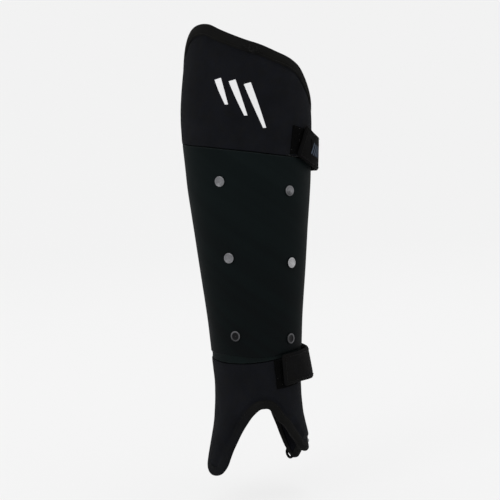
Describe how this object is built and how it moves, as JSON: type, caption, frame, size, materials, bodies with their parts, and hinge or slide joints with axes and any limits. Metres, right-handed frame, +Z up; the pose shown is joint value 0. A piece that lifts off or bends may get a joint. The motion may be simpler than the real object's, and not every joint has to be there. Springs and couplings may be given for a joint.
{
  "type": "shin guard",
  "caption": "Field shin guard: neoprene sleeve with a riveted hard front shell, foam backing, two closing straps and flexible ankle legs either side of an instep opening",
  "frame": {"origin": "on the axis of the wearer's lower leg, at the level of the instep opening", "axes": "+Z up the shin towards the knee, -Y to the front of the leg, +X to the side on which the straps close"},
  "size_m": [0.1265, 0.1302, 0.4002],
  "materials": {
    "neoprene": "matte black knitted neoprene",
    "shell_plastic": "satin black moulded plastic",
    "foam": "closed-cell foam",
    "lining": "brushed knit",
    "binding_tape": "folded knit tape",
    "elastic": "ribbed woven elastic",
    "hook_tape": "moulded hook tape",
    "loop_tape": "napped loop tape",
    "woven_mark": "woven blocks",
    "print": "screen print",
    "rivet_metal": "satin nickel",
    "washer_metal": "plain steel"
  },
  "bodies": {
    "root": {"neoprene_sleeve": "neoprene", "hard_shell": "shell_plastic", "foam_pad": "foam", "inner_lining": "lining", "top_binding": "binding_tape", "arch_binding": "binding_tape", "left_edge_binding": "binding_tape", "right_edge_binding": "binding_tape", "calf_strap_anchor": "elastic", "ankle_strap_anchor": "elastic", "calf_loop_patch": "loop_tape", "ankle_loop_patch": "loop_tape", "front_mark_a": "print", "front_mark_b": "print", "front_mark_c": "print", "rivet_top_left": "rivet_metal", "washer_top_left": "washer_metal", "rivet_top_right": "rivet_metal", "washer_top_right": "washer_metal", "rivet_mid_left": "rivet_metal", "washer_mid_left": "washer_metal", "rivet_mid_right": "rivet_metal", "washer_mid_right": "washer_metal", "rivet_low_left": "rivet_metal", "washer_low_left": "washer_metal", "rivet_low_right": "rivet_metal", "washer_low_right": "washer_metal"},
    "calf_strap": {"calf_strap_band": "elastic"},
    "calf_tab": {"calf_strap_tab": "elastic", "calf_hook_patch": "hook_tape", "calf_strap_label": "woven_mark"},
    "ankle_strap": {"ankle_strap_band": "elastic"},
    "ankle_tab": {"ankle_strap_tab": "elastic", "ankle_hook_patch": "hook_tape"},
    "left_ankle_leg": {"left_leg": "neoprene", "left_leg_binding": "binding_tape"},
    "right_ankle_leg": {"right_leg": "neoprene", "right_leg_binding": "binding_tape", "tip_loop": "elastic"}
  },
  "joints": [
    {"name": "calf_strap_swing", "type": "hinge", "parent": "root", "child": "calf_strap", "pos_m": [-0.05354, 0.03099, 0.218], "axis": [0, 0, 1], "range_deg": [0, 100]},
    {"name": "calf_tab_peel", "type": "hinge", "parent": "calf_strap", "child": "calf_tab", "pos_m": [0.067, 0.01, 0.2245], "axis": [0, 0, 1], "range_deg": [0, 65]},
    {"name": "ankle_strap_swing", "type": "hinge", "parent": "root", "child": "ankle_strap", "pos_m": [-0.02729, 0.03521, 0.036], "axis": [0, 0, 1], "range_deg": [0, 100]},
    {"name": "ankle_tab_peel", "type": "hinge", "parent": "ankle_strap", "child": "ankle_tab", "pos_m": [0.05144, -0.00209, 0.0377], "axis": [0, 0, 1], "range_deg": [0, 65]},
    {"name": "left_leg_flex", "type": "hinge", "parent": "root", "child": "left_ankle_leg", "pos_m": [-0.04044, -0.00356, 0.002], "axis": [0, 1, 0], "range_deg": [0, 30], "stiffness_Nm_per_rad": 0.05, "springref_deg": -8.59},
    {"name": "right_leg_flex", "type": "hinge", "parent": "root", "child": "right_ankle_leg", "pos_m": [0.04044, -0.00356, 0.002], "axis": [0, -1, 0], "range_deg": [0, 30], "stiffness_Nm_per_rad": 0.05, "springref_deg": -8.59}
  ],
  "couplings": [
    {"joint": "calf_tab_peel", "follows": "calf_strap_swing", "ratio": 0.6},
    {"joint": "ankle_tab_peel", "follows": "ankle_strap_swing", "ratio": 0.6}
  ]
}
